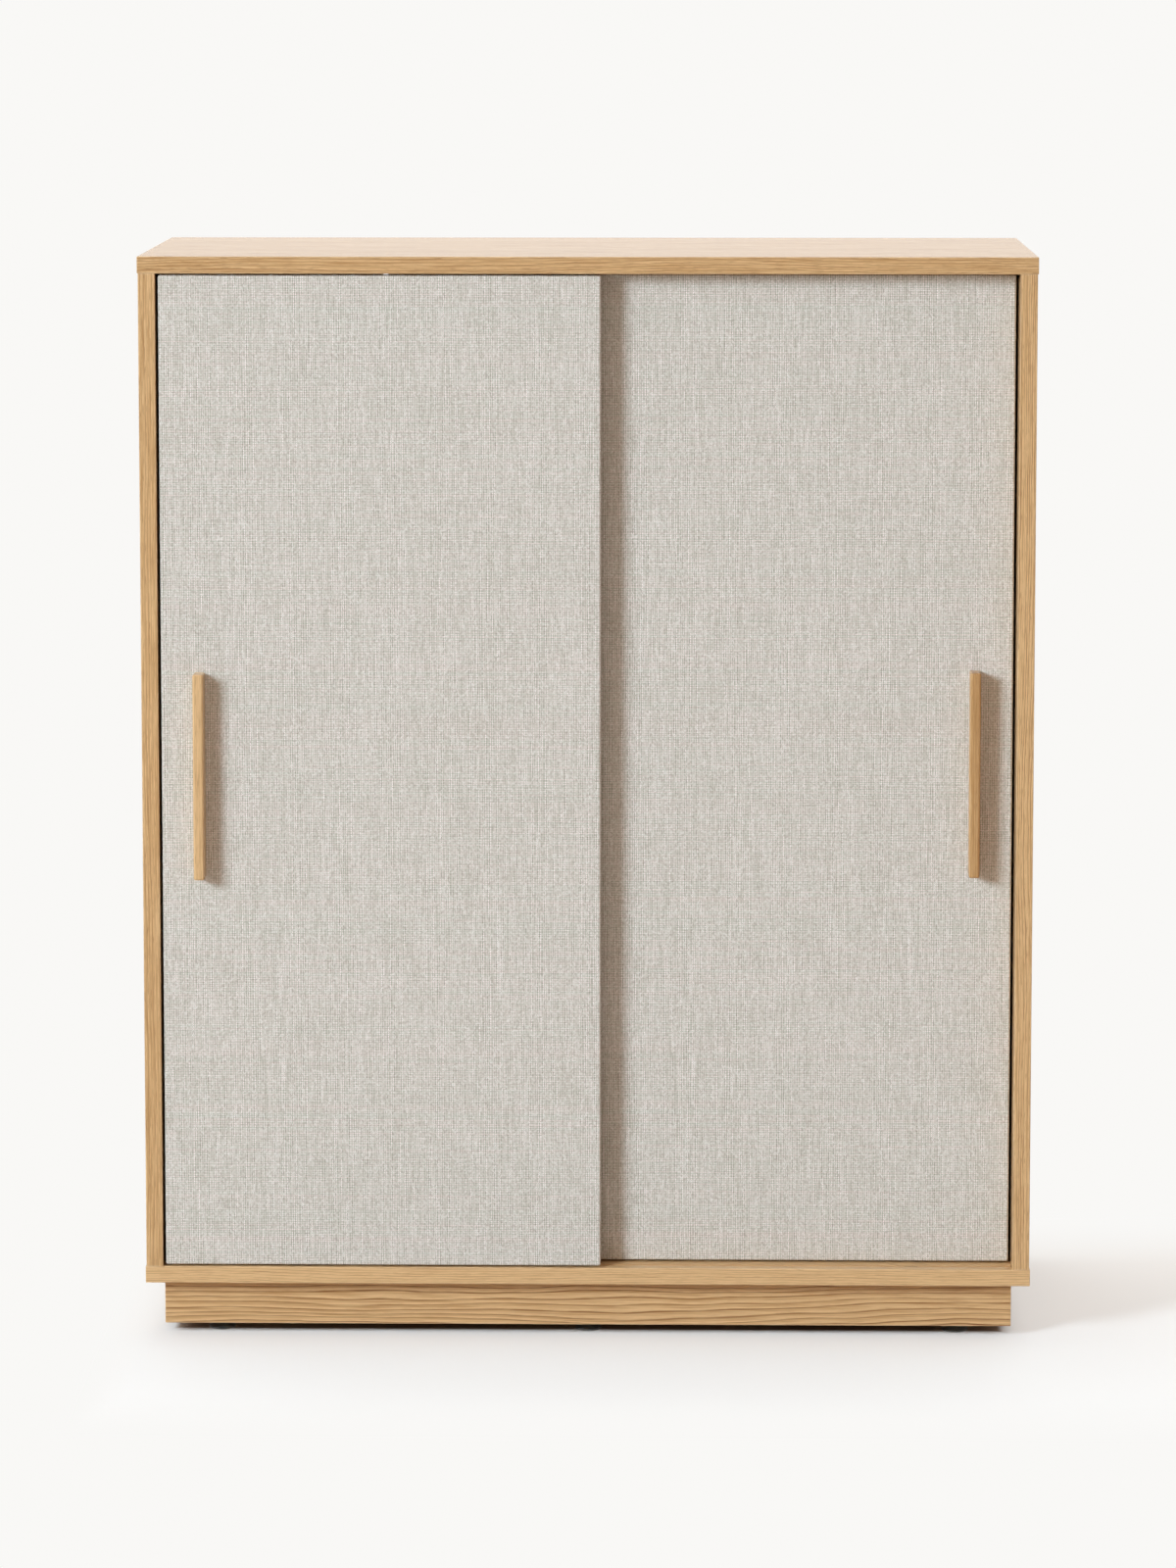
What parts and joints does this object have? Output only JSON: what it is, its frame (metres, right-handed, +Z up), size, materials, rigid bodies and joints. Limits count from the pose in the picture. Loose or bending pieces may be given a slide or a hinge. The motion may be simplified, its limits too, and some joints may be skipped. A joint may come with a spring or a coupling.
{
  "type": "highboard",
  "caption": "Tall free-standing oak cabinet with overlapping fabric-covered sliding doors, upright bar handles, a recessed plinth and levelling feet.",
  "frame": {"origin": "on the floor, midway across the width and midway between the carcass back and the handle fronts", "axes": "+Z up, +X to the right seen from the front, the doors face -Y"},
  "size_m": [1, 0.443, 1.226],
  "materials": {
    "oak_veneer": "matt lacquered oak veneer",
    "oak_handle": "matt lacquered solid oak",
    "oak_back_sheet": "printed hardboard",
    "block_wood": "raw softwood",
    "beech": "raw beech",
    "door_core": "raw fibreboard",
    "linen": "woven slub linen",
    "zinc": "bright zinc plate",
    "spindle_steel": "zinc-plated thread",
    "track_aluminium": "satin anodised",
    "channel_plastic": "extruded, brown",
    "nylon": "moulded, dark grey",
    "roller_nylon": "moulded, off-white",
    "stop_rubber": "soft black",
    "pad_plastic": "moulded, charcoal"
  },
  "bodies": {
    "carcass": {"top_panel": "oak_veneer", "bottom_panel": "oak_veneer", "left_side_panel": "oak_veneer", "right_side_panel": "oak_veneer", "center_partition": "oak_veneer", "left_lower_shelf": "oak_veneer", "left_upper_shelf": "oak_veneer", "right_lower_shelf": "oak_veneer", "right_upper_shelf": "oak_veneer", "plinth_front_rail": "oak_veneer", "plinth_back_rail": "oak_veneer", "plinth_left_rail": "oak_veneer", "plinth_right_rail": "oak_veneer", "plinth_center_rail": "oak_veneer", "back_panel": "oak_back_sheet", "foot_blocks": "block_wood", "dowels": "beech", "cam_locks": "zinc", "cam_bolts": "zinc", "wall_brackets": "zinc", "back_and_bracket_screws": "zinc", "plinth_screws": "zinc", "foot_insert_nuts": "zinc", "shelf_supports": "zinc", "track_stops": "stop_rubber", "front_bottom_track": "track_aluminium", "rear_bottom_track": "track_aluminium", "front_top_channel": "channel_plastic", "rear_top_channel": "channel_plastic"},
    "left_door": {"left_door_core": "door_core", "left_door_fabric": "linen", "left_door_handle": "oak_handle", "left_door_handle_screws": "zinc", "left_door_roller_housings": "nylon", "left_door_top_guides": "nylon", "left_door_guide_screws": "zinc"},
    "left_outer_roller": {"left_door_outer_roller": "roller_nylon"},
    "left_inner_roller": {"left_door_inner_roller": "roller_nylon"},
    "right_door": {"right_door_core": "door_core", "right_door_fabric": "linen", "right_door_handle": "oak_handle", "right_door_handle_screws": "zinc", "right_door_roller_housings": "nylon", "right_door_top_guides": "nylon", "right_door_guide_screws": "zinc"},
    "right_outer_roller": {"right_door_outer_roller": "roller_nylon"},
    "right_inner_roller": {"right_door_inner_roller": "roller_nylon"},
    "front_left_foot_pad": {"front_left_foot_pad": "pad_plastic"},
    "front_left_foot_spindle": {"front_left_foot_spindle": "spindle_steel"},
    "front_middle_foot_pad": {"front_middle_foot_pad": "pad_plastic"},
    "front_middle_foot_spindle": {"front_middle_foot_spindle": "spindle_steel"},
    "front_right_foot_pad": {"front_right_foot_pad": "pad_plastic"},
    "front_right_foot_spindle": {"front_right_foot_spindle": "spindle_steel"},
    "back_left_foot_pad": {"back_left_foot_pad": "pad_plastic"},
    "back_left_foot_spindle": {"back_left_foot_spindle": "spindle_steel"},
    "back_middle_foot_pad": {"back_middle_foot_pad": "pad_plastic"},
    "back_middle_foot_spindle": {"back_middle_foot_spindle": "spindle_steel"},
    "back_right_foot_pad": {"back_right_foot_pad": "pad_plastic"},
    "back_right_foot_spindle": {"back_right_foot_spindle": "spindle_steel"}
  },
  "joints": [
    {"name": "left_door_slide", "type": "slide", "parent": "carcass", "child": "left_door", "axis": [1, 0, 0], "range_m": [0, 0.405]},
    {"name": "left_outer_roller_spin", "type": "hinge", "parent": "left_door", "child": "left_outer_roller", "pos_m": [-0.407, -0.1825, 0.0903], "axis": [0, 1, 0], "continuous": true},
    {"name": "left_inner_roller_spin", "type": "hinge", "parent": "left_door", "child": "left_inner_roller", "pos_m": [-0.055, -0.1825, 0.0903], "axis": [0, 1, 0], "continuous": true},
    {"name": "right_door_slide", "type": "slide", "parent": "carcass", "child": "right_door", "axis": [1, 0, 0], "range_m": [-0.405, 0]},
    {"name": "right_outer_roller_spin", "type": "hinge", "parent": "right_door", "child": "right_outer_roller", "pos_m": [0.407, -0.1525, 0.0903], "axis": [0, 1, 0], "continuous": true},
    {"name": "right_inner_roller_spin", "type": "hinge", "parent": "right_door", "child": "right_inner_roller", "pos_m": [0.055, -0.1525, 0.0903], "axis": [0, 1, 0], "continuous": true},
    {"name": "front_left_foot_travel", "type": "slide", "parent": "carcass", "child": "front_left_foot_pad", "axis": [0, 0, 1], "range_m": [-0.01, 0.004]},
    {"name": "front_left_foot_turn", "type": "hinge", "parent": "front_left_foot_pad", "child": "front_left_foot_spindle", "pos_m": [-0.418, -0.1425, 0], "axis": [0, 0, 1], "continuous": true},
    {"name": "front_middle_foot_travel", "type": "slide", "parent": "carcass", "child": "front_middle_foot_pad", "axis": [0, 0, 1], "range_m": [-0.01, 0.004]},
    {"name": "front_middle_foot_turn", "type": "hinge", "parent": "front_middle_foot_pad", "child": "front_middle_foot_spindle", "pos_m": [0, -0.1425, 0], "axis": [0, 0, 1], "continuous": true},
    {"name": "front_right_foot_travel", "type": "slide", "parent": "carcass", "child": "front_right_foot_pad", "axis": [0, 0, 1], "range_m": [-0.01, 0.004]},
    {"name": "front_right_foot_turn", "type": "hinge", "parent": "front_right_foot_pad", "child": "front_right_foot_spindle", "pos_m": [0.418, -0.1425, 0], "axis": [0, 0, 1], "continuous": true},
    {"name": "back_left_foot_travel", "type": "slide", "parent": "carcass", "child": "back_left_foot_pad", "axis": [0, 0, 1], "range_m": [-0.01, 0.004]},
    {"name": "back_left_foot_turn", "type": "hinge", "parent": "back_left_foot_pad", "child": "back_left_foot_spindle", "pos_m": [-0.418, 0.1655, 0], "axis": [0, 0, 1], "continuous": true},
    {"name": "back_middle_foot_travel", "type": "slide", "parent": "carcass", "child": "back_middle_foot_pad", "axis": [0, 0, 1], "range_m": [-0.01, 0.004]},
    {"name": "back_middle_foot_turn", "type": "hinge", "parent": "back_middle_foot_pad", "child": "back_middle_foot_spindle", "pos_m": [0, 0.1655, 0], "axis": [0, 0, 1], "continuous": true},
    {"name": "back_right_foot_travel", "type": "slide", "parent": "carcass", "child": "back_right_foot_pad", "axis": [0, 0, 1], "range_m": [-0.01, 0.004]},
    {"name": "back_right_foot_turn", "type": "hinge", "parent": "back_right_foot_pad", "child": "back_right_foot_spindle", "pos_m": [0.418, 0.1655, 0], "axis": [0, 0, 1], "continuous": true}
  ],
  "couplings": [
    {"joint": "left_outer_roller_spin", "follows": "left_door_slide", "rad_per_m": 83.333},
    {"joint": "left_inner_roller_spin", "follows": "left_door_slide", "rad_per_m": 83.333},
    {"joint": "right_outer_roller_spin", "follows": "right_door_slide", "rad_per_m": 83.333},
    {"joint": "right_inner_roller_spin", "follows": "right_door_slide", "rad_per_m": 83.333},
    {"joint": "front_left_foot_turn", "follows": "front_left_foot_travel", "rad_per_m": 5026.5},
    {"joint": "front_middle_foot_turn", "follows": "front_middle_foot_travel", "rad_per_m": 5026.5},
    {"joint": "front_right_foot_turn", "follows": "front_right_foot_travel", "rad_per_m": 5026.5},
    {"joint": "back_left_foot_turn", "follows": "back_left_foot_travel", "rad_per_m": 5026.5},
    {"joint": "back_middle_foot_turn", "follows": "back_middle_foot_travel", "rad_per_m": 5026.5},
    {"joint": "back_right_foot_turn", "follows": "back_right_foot_travel", "rad_per_m": 5026.5}
  ]
}
